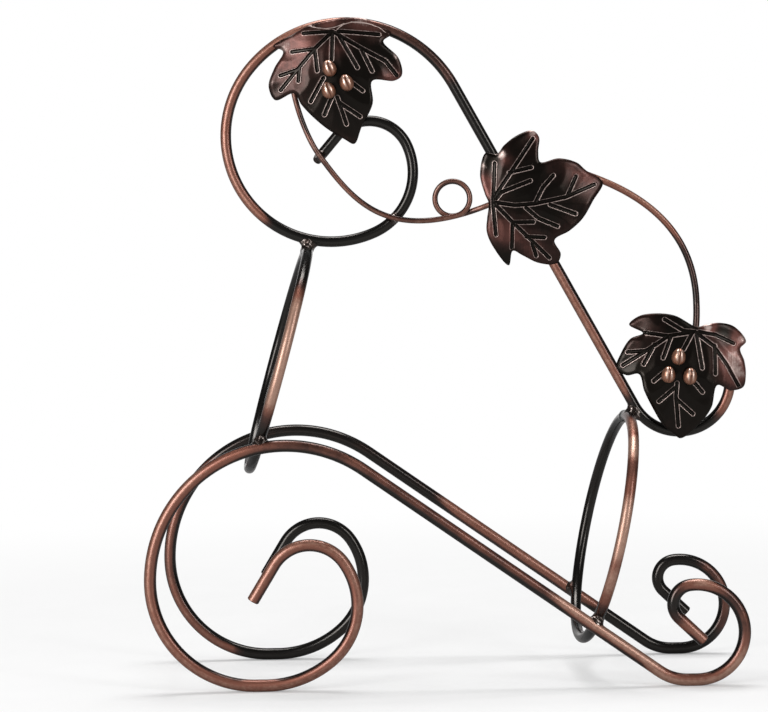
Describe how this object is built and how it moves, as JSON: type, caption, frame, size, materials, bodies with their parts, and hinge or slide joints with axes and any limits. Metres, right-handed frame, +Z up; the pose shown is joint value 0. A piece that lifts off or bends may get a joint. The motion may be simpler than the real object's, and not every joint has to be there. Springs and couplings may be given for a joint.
{
  "type": "wine bottle holder",
  "caption": "Table-top holder of bent, welded rod: scrolled side rods carry leaning rings that cradle a wine bottle at a slant, under a looped handle with vine leaves, berries and a tendril.",
  "frame": {"origin": "the middle of the base: the centre of the bounding box in X and Y, at the height of the feet", "axes": "+X along the bottle from its neck end to its base end, +Y across the bottle from the leaf side to the rear, +Z up"},
  "size_m": [0.2486, 0.101, 0.2739],
  "materials": {
    "rod": "iron rod with an antique copper plate, blackened and rubbed back to copper on its raised sides",
    "leaf": "stamped sheet iron with a dark antique copper plate, rubbed bright on its lobes and vein rims",
    "berry": "bright rubbed copper plate, dark round the foot",
    "weld": "plated weld metal, lumpy, glossy and dark"
  },
  "bodies": {
    "root": {"front_side_rod": "rod", "rear_side_rod": "rod", "neck_ring": "rod", "body_ring": "rod", "handle_rod": "rod", "tendril": "rod", "leaf_stem": "rod", "upper_leaf": "leaf", "middle_leaf": "leaf", "lower_leaf": "leaf", "upper_leaf_berry_1": "berry", "upper_leaf_berry_2": "berry", "upper_leaf_berry_3": "berry", "lower_leaf_berry_1": "berry", "lower_leaf_berry_2": "berry", "lower_leaf_berry_3": "berry", "neck_ring_top_weld": "weld", "neck_ring_front_weld": "weld", "neck_ring_rear_weld": "weld", "body_ring_top_weld": "weld", "body_ring_front_weld": "weld", "body_ring_rear_weld": "weld", "tendril_tail_weld": "weld", "tendril_curl_weld": "weld", "upper_leaf_left_tack": "weld", "upper_leaf_right_tack": "weld", "middle_leaf_top_tack": "weld", "middle_leaf_low_tack": "weld", "lower_leaf_tip_tack": "weld", "lower_leaf_end_tack": "weld", "tendril_start_tack": "weld", "tendril_end_tack": "weld", "stem_start_tack": "weld", "stem_end_tack": "weld"}
  },
  "joints": []
}
